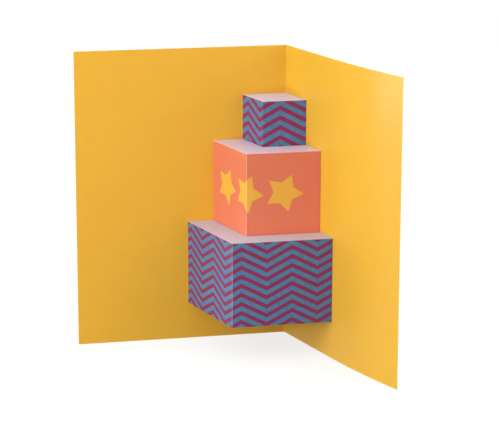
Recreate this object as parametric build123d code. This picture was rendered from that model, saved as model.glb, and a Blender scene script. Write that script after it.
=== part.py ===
"""Pop-up card: one sheet folded down the middle, standing open on its lower edge, with three
square boxes of thinner card glued one above another into the corner between its two leaves."""
from build123d import *
import math
import os

# Card sheet, in millimetres and degrees
LEAF_WIDTH = 127.0
CARD_HEIGHT = 178.0
CARD_THICKNESS = 0.4
OPEN_ANGLE = 104.5

# The right leaf is flat as far as the lower box holds it, then turns outwards by this many degrees
RIGHT_LEAF_BOW = 8.0

# Box sheets: the walls, and the glued tabs and flaps inside them
BOX_THICKNESS = 0.3
TAB_WIDTH = 9.0
TAB_END_GAP = 1.5
TAB_TAPER = 3.0
FLAP_DEPTH = 8.0

# Every fold keeps this radius on its inner side
CREASE_RADIUS = 0.2

# Lower box, held clear of the table
LOWER_LIFT = 22.5
LOWER_WALL = 60.0
LOWER_HEIGHT = 50.5

# Middle box, standing on the lower one
MIDDLE_WALL = 44.5
MIDDLE_HEIGHT = 49.0

# Upper box, standing on the middle one
UPPER_WALL = 26.5
UPPER_HEIGHT = 27.0

# Directions seen from above: out along each leaf from the spine, and square to each leaf
HALF_ANGLE = math.radians(OPEN_ANGLE / 2)
ALONG_LEFT = Vector(-math.sin(HALF_ANGLE), -math.cos(HALF_ANGLE), 0)
ALONG_RIGHT = Vector(math.sin(HALF_ANGLE), -math.cos(HALF_ANGLE), 0)
BEHIND_LEFT = Vector(-math.cos(HALF_ANGLE), math.sin(HALF_ANGLE), 0)
BEHIND_RIGHT = Vector(math.cos(HALF_ANGLE), math.sin(HALF_ANGLE), 0)
UP = Vector(0, 0, 1)


def between_leaves(left_distance, right_distance, height=0.0):
    """Point reached from the spine by going out along the left leaf, then along the right one."""
    return ALONG_LEFT * left_distance + ALONG_RIGHT * right_distance + UP * height


def folded_line(points, thickness):
    """Outer face of a folded sheet, seen along its folds: straight runs, with a small bend at each fold."""
    return FilletPolyline(*points, radius=CREASE_RADIUS + thickness)


def sheet_section(outer_line, thickness, inner_side):
    """Cut across a sheet: the line of its outer face, made as thick as the sheet."""
    return make_face(offset(outer_line, amount=thickness, side=inner_side))


def glued_flap(base_middle, reach_direction, facing, base_length, reach):
    """Flat flap with tapered ends, lying against another sheet and growing away from its own fold."""
    half_base = base_length / 2
    half_tip = half_base - TAB_TAPER
    base = [(0, half_base), (0, -half_base)]
    tip = [(reach, -half_tip), (reach, half_tip)]
    outline = Polyline(*base, *tip, close=True)
    on_sheet = Plane(origin=base_middle, x_dir=reach_direction, z_dir=facing)
    return extrude(on_sheet * make_face(outline), amount=BOX_THICKNESS)


def make_card():
    """The backing sheet, folded once at the spine; its two inner faces meet on the vertical axis."""
    back_left = ALONG_LEFT * LEAF_WIDTH + BEHIND_LEFT * CARD_THICKNESS
    back_spine = Vector(0, CARD_THICKNESS / math.sin(HALF_ANGLE), 0)
    bow_start = ALONG_RIGHT * LOWER_WALL + BEHIND_RIGHT * CARD_THICKNESS
    flat_part = folded_line([back_left, back_spine, bow_start], CARD_THICKNESS)

    # The bow is measured on the inner face, and the back face lies inside it
    bow_radius = (LEAF_WIDTH - LOWER_WALL) / math.radians(RIGHT_LEAF_BOW)
    bowed_part = JernArc(bow_start, ALONG_RIGHT, bow_radius - CARD_THICKNESS, RIGHT_LEAF_BOW)
    back_line = Wire(flat_part.edges() + bowed_part.edges())
    return extrude(sheet_section(back_line, CARD_THICKNESS, Side.RIGHT), amount=CARD_HEIGHT, dir=UP)


def make_box(wall, height, base):
    """One folded net: two equal walls set parallel to the leaves, the top bent over from the right
    wall, a flap of the top glued behind the left wall, and a glued tab on each leaf."""
    top = base + height
    fold_radius = CREASE_RADIUS + BOX_THICKNESS
    fold_run = fold_radius * math.tan(HALF_ANGLE)

    # Walls from leaf to leaf round the front fold, turning in at both ends for the tabs
    wall_line = [
        between_leaves(wall - 2 * fold_run, 0),
        between_leaves(wall, 0),
        between_leaves(wall, wall),
        between_leaves(0, wall),
        between_leaves(0, wall - 2 * fold_run),
    ]
    wall_section = sheet_section(folded_line(wall_line, BOX_THICKNESS), BOX_THICKNESS, Side.LEFT)
    walls = extrude(Pos(0, 0, base) * wall_section, amount=height, dir=UP)

    # Top panel, in section across the right wall: up its face, over the fold and back to the left leaf
    depth = wall * math.sin(math.radians(OPEN_ANGLE))
    across = Plane(origin=between_leaves(0, wall), x_dir=BEHIND_LEFT, z_dir=BEHIND_LEFT.cross(UP))
    top_line = [(0, top - 2 * fold_radius), (0, top), (depth, top)]
    top_section = across * sheet_section(folded_line(top_line, BOX_THICKNESS), BOX_THICKNESS, Side.RIGHT)
    top_strip = extrude(top_section, amount=2 * wall, both=True)

    # The panel fills the whole outline from the spine to the front fold
    corners = [
        between_leaves(0, 0),
        between_leaves(wall, 0),
        between_leaves(wall, wall),
        between_leaves(0, wall),
    ]
    outline = make_face(FilletPolyline(*corners, radius=fold_radius, close=True))
    panel = top_strip & extrude(Pos(0, 0, base) * outline, amount=height, dir=UP)

    # Sharp upper corner of the right wall, which the bend of the panel replaces
    corner_square = Rectangle(fold_radius, fold_radius, align=(Align.MIN, Align.MAX))
    sharp_corner = extrude(across * Pos(0, top) * corner_square, amount=2 * wall, both=True)

    # Glued parts inside the box
    tab_length = height - 2 * TAB_END_GAP
    tab_reach = TAB_WIDTH - fold_run
    middle_height = base + height / 2
    left_fold = between_leaves(wall - fold_run, 0, middle_height)
    right_fold = between_leaves(0, wall - fold_run, middle_height)
    left_tab = glued_flap(left_fold, -ALONG_LEFT, -BEHIND_LEFT, tab_length, tab_reach)
    right_tab = glued_flap(right_fold, -ALONG_RIGHT, -BEHIND_RIGHT, tab_length, tab_reach)
    behind_left_wall = between_leaves(wall, wall / 2) + BEHIND_RIGHT * BOX_THICKNESS
    flap_fold = behind_left_wall + UP * (top - BOX_THICKNESS)
    top_flap = glued_flap(flap_fold, -UP, BEHIND_RIGHT, wall - 2 * TAB_END_GAP, FLAP_DEPTH)

    return walls - sharp_corner + panel + left_tab + right_tab + top_flap


card = make_card()
lower_top = LOWER_LIFT + LOWER_HEIGHT
middle_top = lower_top + MIDDLE_HEIGHT
nodes = {
    "card": card,
    "lower_box": make_box(LOWER_WALL, LOWER_HEIGHT, LOWER_LIFT),
    "middle_box": make_box(MIDDLE_WALL, MIDDLE_HEIGHT, lower_top),
    "upper_box": make_box(UPPER_WALL, UPPER_HEIGHT, middle_top),
}

# The origin lies under the middle of the standing card
footprint = card.bounding_box().center()
to_origin = Pos(-footprint.X, -footprint.Y, 0)

os.makedirs("parts", exist_ok=True)
for name, shape in nodes.items():
    export_step(to_origin * shape, f"parts/{name}.step")
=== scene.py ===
"""Looks of the pop-up card: printed paper on the folded sheets, a plain white studio, and the camera."""
import math

import bpy
from mathutils import Matrix, Vector


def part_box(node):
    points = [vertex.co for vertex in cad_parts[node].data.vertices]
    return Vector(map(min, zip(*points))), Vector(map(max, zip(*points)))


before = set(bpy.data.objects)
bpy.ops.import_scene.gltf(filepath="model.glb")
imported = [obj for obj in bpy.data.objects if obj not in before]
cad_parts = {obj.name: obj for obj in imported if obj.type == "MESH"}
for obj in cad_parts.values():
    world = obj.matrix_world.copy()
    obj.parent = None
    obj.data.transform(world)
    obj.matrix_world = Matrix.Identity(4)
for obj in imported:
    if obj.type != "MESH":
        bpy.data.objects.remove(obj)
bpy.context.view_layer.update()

MM = 0.001
OPEN_ANGLE = math.radians(104.5)
HALF_ANGLE = OPEN_ANGLE / 2

# Zigzag bands on the walls: places along the walls are measured from the front fold, and heights from
# the box's foot. A band falls by ZIGZAG_RISE in half a period, and one of each colour makes a repeat.
ZIGZAG_RISE = 7.8 * MM
ZIGZAGS = {
    "lower_box": {
        "half_period": 15.1 * MM,
        "peak": 5.5 * MM,
        "repeat": 5.44 * MM,
        "blue_height": 5.98 * MM,
    },
    "upper_box": {
        "half_period": 14.6 * MM,
        "peak": 10.6 * MM,
        "repeat": 5.87 * MM,
        "blue_height": 8.5 * MM,
    },
}

# Stars on the middle box: one wrapped round the front fold, and one on each wall beside it
STARS_EACH_SIDE = 1.0
STAR_MIDDLE = -1.3 * MM
STAR_SPACING = 23.8 * MM
STAR_HEIGHT = 25.0 * MM
STAR_RADIUS = 11.7 * MM
STAR_NOTCH = 6.39 * MM
STAR_TURN = math.radians(-5)
STAR_POINTS = 5
HALF_POINT = math.pi / STAR_POINTS

# Ink: the softness of its edges, and how far its hue and its depth drift in patches
INK_BLUR = 0.12 * MM
INK_PATCH = 1.8 * MM
INK_DRIFT = 0.07
TOP_PATCH = 3.0 * MM
TOP_MOTTLE = 0.08
NEUTRAL_HUE = 0.5

# Wear: the width of the rubbed lines, and the most ink that is gone from them
FOLD_WEAR = 0.3 * MM
FOLD_RUBBED = {"lower_box": 0.34, "middle_box": 0.38, "upper_box": 0.08}
RIM_WEAR = 0.3 * MM
CARD_RUBBED = 0.6

# Paper: the printed skin, the fibres that make it uneven, and the light that shines through
SHEET_SKIN = 0.05 * MM
FIBRE_SIZE = 0.22 * MM
FIBRE_DEPTH = 0.02 * MM
FIBRE_STRENGTH = 0.35
GRAIN_SIZE = 0.7 * MM
GRAIN_SWING = 0.03
MOTTLE_SIZE = 9 * MM
MOTTLE_SWING = 0.025
SHINE_THROUGH = 0.4 * MM
SHINE_WEIGHT = 0.5
SHINE_COLOUR = (1.0, 0.35, 0.12)

# Gloss: the paper's own, and a thin coat over it
BASE_GLOSS = 0.1
CARD_ROUGHNESS = 0.42
BOX_ROUGHNESS = 0.5
ROUGHNESS_SWING = 0.06
COAT_ROUGHNESS = 0.22
CARD_COAT = 0.3
STAR_COAT = 0.3
ZIGZAG_COAT = 0.1

# Detail of the noise, from soft clouds to fine fibres
CLOUDS = 2.0
FLECKS = 3.0
GRAINS = 4.0
FIBRES = 5.0

# Part of a face's normal that tells which way the face looks, and the softness of the step there
TOP_FACING = 0.7
UNDER_FACING = -0.5
BOX_FACING_BLUR = 0.05
BACK_FACING = 0.3
BACK_FACING_BLUR = 0.1
CUT_FACING = 0.72
CUT_FACING_BLUR = 0.03

# Camera, from the corners of the card in the photograph
LENS_MM = 146.65
SENSOR_MM = 36.0
CAMERA_AIM = Vector((-5.23, -2.47, 83.70)) * MM
CAMERA_DISTANCE = 1197.98 * MM
CAMERA_AZIMUTH = math.radians(25.272)
CAMERA_ELEVATION = math.radians(13.718)
CAMERA_ROLL = math.radians(0.145)

# Studio, in metres: an even pale surround and five soft lamps, each with its share of full light.
# The low lamp reaches in under the lower box, and isn't mirrored in the gloss.
SURROUND_LIGHT = 0.88
LAMP_AIM = Vector((0, 0, 0.09))
LAMPS = {
    "key": {"place": (-0.2, -0.57, 0.25), "size": (0.5, 0.5), "share": 0.59},
    "low": {"place": (-0.2, -0.6, 0.035), "size": (0.5, 0.06), "share": 0.18, "mirrored": False},
    "left": {"place": (-0.55, -0.12, 0.12), "size": (0.2, 0.17), "share": 0.26},
    "right": {"place": (0.62, -0.03, 0.36), "size": (0.35, 0.35), "share": 0.22},
    "back": {"place": (0.2, 0.8, 0.5), "size": (0.7, 0.7), "share": 0.6},
}

# Floor: the share of light it throws back at the card, and its shade and glow where it is seen
FLOOR_SIZE = 12.0
FLOOR_BOUNCE = 0.16
FLOOR_SHADE = 0.3
FLOOR_GLOW = 0.75


def srgb(red, green, blue):
    """Shader colour of a colour given in the 0 to 255 values of a picture."""
    def linear(value):
        share = value / 255
        return share / 12.92 if share <= 0.04045 else ((share + 0.055) / 1.055) ** 2.4
    return (linear(red), linear(green), linear(blue), 1.0)


def grey(level):
    """Shader colour of a grey that throws back this share of the light."""
    return (level, level, level, 1.0)


YELLOW = srgb(225, 175, 55)
BLUE = srgb(80, 126, 163)
MAGENTA = srgb(137, 51, 91)
ORANGE = srgb(221, 122, 92)
STAR_YELLOW = srgb(231, 176, 70)
UNPRINTED = srgb(246, 240, 234)
CARD_CORE = srgb(250, 226, 160)
# Box tops: the tint and lightness of each top are partly the pale paper's own and partly painted light
# and shade, set box by box
BOX_TOPS_WITH_PAINTED_LIGHT = {
    "lower_box": srgb(203, 201, 223),
    "middle_box": srgb(237, 214, 238),
    "upper_box": srgb(220, 214, 250),
}


class Finish:
    """A material being built, with short calls for the sums behind its pattern."""

    def __init__(self, name):
        self.material = bpy.data.materials.new(name)
        self.material.use_nodes = True
        self.tree = self.material.node_tree
        self.place = self.node("ShaderNodeTexCoord").outputs["Object"]
        self.facing = self.node("ShaderNodeNewGeometry").outputs["True Normal"]

    def node(self, kind, **settings):
        """A new shader node of that kind, with its settings."""
        made = self.tree.nodes.new(kind)
        for setting, value in settings.items():
            setattr(made, setting, value)
        return made

    def feed(self, socket, value):
        """Links another node's output to the socket, or sets a plain value on it."""
        if isinstance(value, bpy.types.NodeSocket):
            self.tree.links.new(value, socket)
        else:
            socket.default_value = value

    def parts(self, vector):
        """The x, y and z of the vector."""
        made = self.node("ShaderNodeSeparateXYZ")
        self.feed(made.inputs[0], vector)
        return made.outputs

    def maths(self, operation, *values):
        """The result of one sum, such as ADD, on the values."""
        made = self.node("ShaderNodeMath", operation=operation)
        for socket, value in zip(made.inputs, values):
            self.feed(socket, value)
        return made.outputs[0]

    def above(self, value, level, blur):
        """0 where the value is under the level and 1 where it is over, with a soft step between."""
        made = self.node("ShaderNodeMapRange", interpolation_type="SMOOTHSTEP")
        self.feed(made.inputs["Value"], value)
        made.inputs["From Min"].default_value = level - blur
        made.inputs["From Max"].default_value = level + blur
        return made.outputs["Result"]

    def paint(self, under, over, cover):
        """The colour under, covered by the colour over where cover is 1."""
        made = self.node("ShaderNodeMix", data_type="RGBA")

        # The sockets for colours come after those for numbers and vectors
        factor, colour_under, colour_over = made.inputs[0], made.inputs[6], made.inputs[7]
        self.feed(factor, cover)
        self.feed(colour_under, under)
        self.feed(colour_over, over)
        return made.outputs[2]

    def noise(self, size, detail):
        """Noise from 0 to 1 in patches of about that size."""
        made = self.node("ShaderNodeTexNoise")
        self.feed(made.inputs["Vector"], self.place)
        made.inputs["Scale"].default_value = 1 / size
        made.inputs["Detail"].default_value = detail
        return made.outputs[0]

    def swinging(self, middle, swing, size, detail):
        """A value that swings to both sides of its middle in patches of about that size."""
        return self.maths("MULTIPLY_ADD", self.noise(size, detail), 2 * swing, middle - swing)

    def varied(self, colour, swing, size, detail):
        """The colour made a little darker and lighter in patches of about that size."""
        made = self.node("ShaderNodeHueSaturation")
        self.feed(made.inputs["Value"], self.swinging(1.0, swing, size, detail))
        self.feed(made.inputs["Color"], colour)
        return made.outputs["Color"]

    def tinted(self, colour):
        """The colour with its hue drifting a little to both sides, as printed ink does."""
        made = self.node("ShaderNodeHueSaturation")
        self.feed(made.inputs["Hue"], self.swinging(NEUTRAL_HUE, INK_DRIFT, INK_PATCH, CLOUDS))
        self.feed(made.inputs["Color"], colour)
        return made.outputs["Color"]

    def worn(self, most, where):
        """How far the ink has rubbed off there: broken up by the grain of the sheet."""
        return self.maths("MULTIPLY", self.maths("MULTIPLY", self.noise(GRAIN_SIZE, FLECKS), most), where)

    def paper(self, colour, roughness, coat):
        """Sets the colour on the shader, with paper fibres, uneven gloss and light shining through."""
        shader = self.tree.nodes["Principled BSDF"]
        mottled = self.varied(colour, MOTTLE_SWING, MOTTLE_SIZE, CLOUDS)
        self.feed(shader.inputs["Base Color"], self.varied(mottled, GRAIN_SWING, GRAIN_SIZE, GRAINS))
        uneven = self.swinging(roughness, ROUGHNESS_SWING, GRAIN_SIZE, FLECKS)
        self.feed(shader.inputs["Roughness"], uneven)
        shader.inputs["Specular IOR Level"].default_value = BASE_GLOSS
        shader.inputs["Coat Weight"].default_value = coat
        shader.inputs["Coat Roughness"].default_value = COAT_ROUGHNESS
        shader.inputs["Subsurface Weight"].default_value = SHINE_WEIGHT
        shader.inputs["Subsurface Radius"].default_value = SHINE_COLOUR
        shader.inputs["Subsurface Scale"].default_value = SHINE_THROUGH
        bump = self.node("ShaderNodeBump")
        bump.inputs["Strength"].default_value = FIBRE_STRENGTH
        bump.inputs["Distance"].default_value = FIBRE_DEPTH
        self.feed(bump.inputs["Height"], self.noise(FIBRE_SIZE, FIBRES))
        self.feed(shader.inputs["Normal"], bump.outputs["Normal"])
        return self.material


class BoxFinish(Finish):
    """Finish of one folded box: it knows how far along the walls and how high each point lies."""

    def __init__(self, name, node):
        super().__init__(name)
        low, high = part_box(node)
        x, y, z = self.parts(self.place)
        aside = self.maths("SUBTRACT", x, (low.x + high.x) / 2)
        behind = self.maths("SUBTRACT", y, low.y)
        self.along = self.maths("DIVIDE", aside, math.sin(HALF_ANGLE))
        self.height = self.maths("SUBTRACT", z, low.z)
        self.full_height = high.z - low.z
        self.rubbed = FOLD_RUBBED[node]
        # This top's colour is partly the pale paper's own and partly painted light and shade for this box
        self.top_colour_with_painted_light = BOX_TOPS_WITH_PAINTED_LIGHT[node]

        # Depth of a point under the outer face of the nearer wall
        sunk = self.maths("MULTIPLY", behind, math.sin(HALF_ANGLE))
        spread = self.maths("MULTIPLY", self.maths("ABSOLUTE", aside), math.cos(HALF_ANGLE))
        self.depth = self.maths("SUBTRACT", sunk, spread)

    def folded(self, print_colour):
        """The print on the outside of the walls, the top, and bare paper inside and at the cut edges."""
        facing_up = self.parts(self.facing)[2]
        off_fold = self.above(self.maths("ABSOLUTE", self.along), FOLD_WEAR, FOLD_WEAR / 2)
        at_rim = self.above(self.height, self.full_height - RIM_WEAR, RIM_WEAR / 2)
        at_bend = self.maths("MAXIMUM", self.maths("SUBTRACT", 1.0, off_fold), at_rim)
        walls = self.paint(print_colour, UNPRINTED, self.worn(self.rubbed, at_bend))
        sheet = self.paint(walls, UNPRINTED, self.above(self.depth, SHEET_SKIN, SHEET_SKIN / 2))
        # The top is painted in the pale paper, made lighter or darker box by box as painted light and
        # shade
        top = self.tinted(self.varied(self.top_colour_with_painted_light, TOP_MOTTLE, TOP_PATCH, FLECKS))
        topped = self.paint(sheet, top, self.above(facing_up, TOP_FACING, BOX_FACING_BLUR))
        return self.paint(UNPRINTED, topped, self.above(facing_up, UNDER_FACING, BOX_FACING_BLUR))


def zigzag_paper(node):
    """Bands of blue and magenta that climb and fall along the walls, running on round the front fold."""
    box = BoxFinish(f"zigzag_{node}", node)
    size = ZIGZAGS[node]
    from_peak = box.maths("PINGPONG", box.maths("SUBTRACT", box.along, size["peak"]), size["half_period"])
    dip = box.maths("MULTIPLY", from_peak, ZIGZAG_RISE / size["half_period"])
    climbed = box.maths("SUBTRACT", box.maths("ADD", box.height, dip), size["blue_height"])
    from_blue = box.maths("PINGPONG", climbed, size["repeat"] / 2)
    bands = box.paint(BLUE, MAGENTA, box.above(from_blue, size["repeat"] / 4, INK_BLUR))
    return box.paper(box.folded(box.tinted(bands)), BOX_ROUGHNESS, ZIGZAG_COAT)


def star_paper(node):
    """Orange with three yellow five-pointed stars in a row."""
    box = BoxFinish(f"stars_{node}", node)
    from_middle = box.maths("SUBTRACT", box.along, STAR_MIDDLE)
    nearest = box.maths("ROUND", box.maths("DIVIDE", from_middle, STAR_SPACING))
    nearest = box.maths("MAXIMUM", box.maths("MINIMUM", nearest, STARS_EACH_SIDE), -STARS_EACH_SIDE)
    across = box.maths("SUBTRACT", from_middle, box.maths("MULTIPLY", nearest, STAR_SPACING))
    upward = box.maths("SUBTRACT", box.height, STAR_HEIGHT)

    # Place within the star, folded to half of one of its points
    angle = box.maths("SUBTRACT", box.maths("ARCTAN2", upward, across), STAR_TURN)
    angle = box.maths("PINGPONG", angle, HALF_POINT)
    squares = box.maths("ADD", box.maths("POWER", across, 2.0), box.maths("POWER", upward, 2.0))
    radius = box.maths("SQRT", squares)
    outward = box.maths("MULTIPLY", radius, box.maths("COSINE", angle))
    sideways = box.maths("MULTIPLY", radius, box.maths("SINE", angle))

    # Distance inside the straight edge that runs from the tip to the notch beside it
    notch = Vector((STAR_NOTCH * math.cos(HALF_POINT), STAR_NOTCH * math.sin(HALF_POINT)))
    edge = (notch - Vector((STAR_RADIUS, 0))).normalized()
    from_tip = box.maths("MULTIPLY", box.maths("SUBTRACT", STAR_RADIUS, outward), edge.y)
    inside = box.maths("ADD", from_tip, box.maths("MULTIPLY", sideways, edge.x))
    stars = box.paint(ORANGE, STAR_YELLOW, box.above(inside, 0.0, INK_BLUR))
    return box.paper(box.folded(stars), BOX_ROUGHNESS, STAR_COAT)


def yellow_card():
    """Smooth yellow card, rubbed at its rims and along the outside of the spine, pale where it is cut."""
    card = Finish("yellow_card")
    x, _, z = card.parts(card.place)
    facing_x, facing_y, facing_z = card.parts(card.facing)

    # The spine lies straight behind the front folds, which are in the middle of the boxes
    box_low, box_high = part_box("upper_box")
    spine = (box_low.x + box_high.x) / 2
    from_spine = card.maths("ABSOLUTE", card.maths("SUBTRACT", x, spine))
    at_spine = card.maths("SUBTRACT", 1.0, card.above(from_spine, FOLD_WEAR, FOLD_WEAR / 2))
    outside = card.above(facing_y, BACK_FACING, BACK_FACING_BLUR)

    # Rims at the two sides and at both ends
    low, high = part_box("card")
    at_side = card.above(card.maths("ABSOLUTE", x), high.x - RIM_WEAR, RIM_WEAR / 2)
    middle_height = (low.z + high.z) / 2
    from_middle = card.maths("ABSOLUTE", card.maths("SUBTRACT", z, middle_height))
    at_end = card.above(from_middle, high.z - middle_height - RIM_WEAR, RIM_WEAR / 2)
    at_rim = card.maths("MAXIMUM", at_side, at_end)
    rubbed = card.maths("MAXIMUM", at_rim, card.maths("MULTIPLY", at_spine, outside))
    colour = card.paint(YELLOW, CARD_CORE, card.worn(CARD_RUBBED, rubbed))

    # Cut edges, which face along a leaf or straight up and down
    cut = card.maths("MAXIMUM", card.maths("ABSOLUTE", facing_x), card.maths("ABSOLUTE", facing_z))
    colour = card.paint(colour, CARD_CORE, card.above(cut, CUT_FACING, CUT_FACING_BLUR))
    return card.paper(colour, CARD_ROUGHNESS, CARD_COAT)


def dress(node, material):
    """Makes the material the only one on the node."""
    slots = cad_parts[node].data.materials
    slots.clear()
    slots.append(material)


def background_rays(tree):
    """1 for the rays that show the background: the camera's, and those mirrored or let through."""
    rays = tree.nodes.new("ShaderNodeLightPath").outputs
    seen = rays["Is Camera Ray"]
    for other in ("Is Glossy Ray", "Is Transmission Ray"):
        either = tree.nodes.new("ShaderNodeMath")
        either.operation = "MAXIMUM"
        tree.links.new(seen, either.inputs[0])
        tree.links.new(rays[other], either.inputs[1])
        seen = either.outputs[0]
    return seen


def surround():
    """Even pale light from all round, which the camera and reflections see as plain white."""
    world = bpy.data.worlds.new("surround")
    bpy.context.scene.world = world
    world.use_nodes = True
    tree = world.node_tree
    level = tree.nodes.new("ShaderNodeMapRange")
    level.inputs["To Min"].default_value = SURROUND_LIGHT
    tree.links.new(background_rays(tree), level.inputs["Value"])
    background = tree.nodes["Background"]
    background.inputs["Color"].default_value = grey(1.0)
    tree.links.new(level.outputs["Result"], background.inputs["Strength"])


def soft_lamp(name, place, size, share, mirrored=True):
    """Soft lamp that gives its share of full light at the point it is aimed at, seen in gloss or not."""
    light = bpy.data.lights.new(name, "AREA")
    light.shape = "RECTANGLE"
    light.size, light.size_y = size

    # White paper looks white under pi watts on each square metre, and a lamp gives a point before it
    # its power divided by pi and by the distance squared
    towards = LAMP_AIM - Vector(place)
    light.energy = share * math.pi ** 2 * towards.length_squared
    lamp = bpy.data.objects.new(name, light)
    bpy.context.scene.collection.objects.link(lamp)
    lamp.location = place
    lamp.rotation_euler = towards.to_track_quat("-Z", "Y").to_euler()
    lamp.visible_camera = False
    lamp.visible_glossy = mirrored


def floor_finish():
    """Floor that takes the shadow, with a glow that brings it up to white where it is seen."""
    floor = Finish("floor")
    is_seen = background_rays(floor.tree)
    matt = floor.node("ShaderNodeBsdfDiffuse")
    floor.feed(matt.inputs["Color"], floor.paint(grey(FLOOR_BOUNCE), grey(FLOOR_SHADE), is_seen))
    glow = floor.node("ShaderNodeEmission")
    floor.feed(glow.inputs["Strength"], floor.maths("MULTIPLY", is_seen, FLOOR_GLOW))
    both = floor.node("ShaderNodeAddShader")
    floor.feed(both.inputs[0], matt.outputs[0])
    floor.feed(both.inputs[1], glow.outputs[0])
    floor.feed(floor.tree.nodes["Material Output"].inputs["Surface"], both.outputs[0])
    return floor.material


def lay_floor():
    """Square floor under the card, which belongs to the studio and not to the part."""
    half = FLOOR_SIZE / 2
    corners = [(-half, -half, 0), (half, -half, 0), (half, half, 0), (-half, half, 0)]
    mesh = bpy.data.meshes.new("floor")
    mesh.from_pydata(corners, [], [(0, 1, 2, 3)])
    mesh.materials.append(floor_finish())
    floor = bpy.data.objects.new("floor", mesh)
    bpy.context.scene.collection.objects.link(floor)


def place_camera():
    """Long lens looking down a little from the right, as the photograph was taken."""
    lens = bpy.data.cameras.new("camera")
    lens.lens = LENS_MM
    lens.sensor_width = SENSOR_MM
    camera = bpy.data.objects.new("camera", lens)
    bpy.context.scene.collection.objects.link(camera)
    level = math.cos(CAMERA_ELEVATION)
    back = Vector((
        math.sin(CAMERA_AZIMUTH) * level,
        -math.cos(CAMERA_AZIMUTH) * level,
        math.sin(CAMERA_ELEVATION),
    ))
    level_right = Vector((math.cos(CAMERA_AZIMUTH), math.sin(CAMERA_AZIMUTH), 0))
    level_up = back.cross(level_right)
    right = level_right * math.cos(CAMERA_ROLL) + level_up * math.sin(CAMERA_ROLL)
    up = level_up * math.cos(CAMERA_ROLL) - level_right * math.sin(CAMERA_ROLL)
    turn = Matrix((right, up, back)).transposed().to_4x4()
    camera.matrix_world = Matrix.Translation(CAMERA_AIM + back * CAMERA_DISTANCE) @ turn
    bpy.context.scene.camera = camera


dress("card", yellow_card())
dress("lower_box", zigzag_paper("lower_box"))
dress("middle_box", star_paper("middle_box"))
dress("upper_box", zigzag_paper("upper_box"))
surround()
for name, lamp in LAMPS.items():
    soft_lamp(name, **lamp)
lay_floor()
place_camera()
bpy.context.scene.view_settings.view_transform = "Standard"
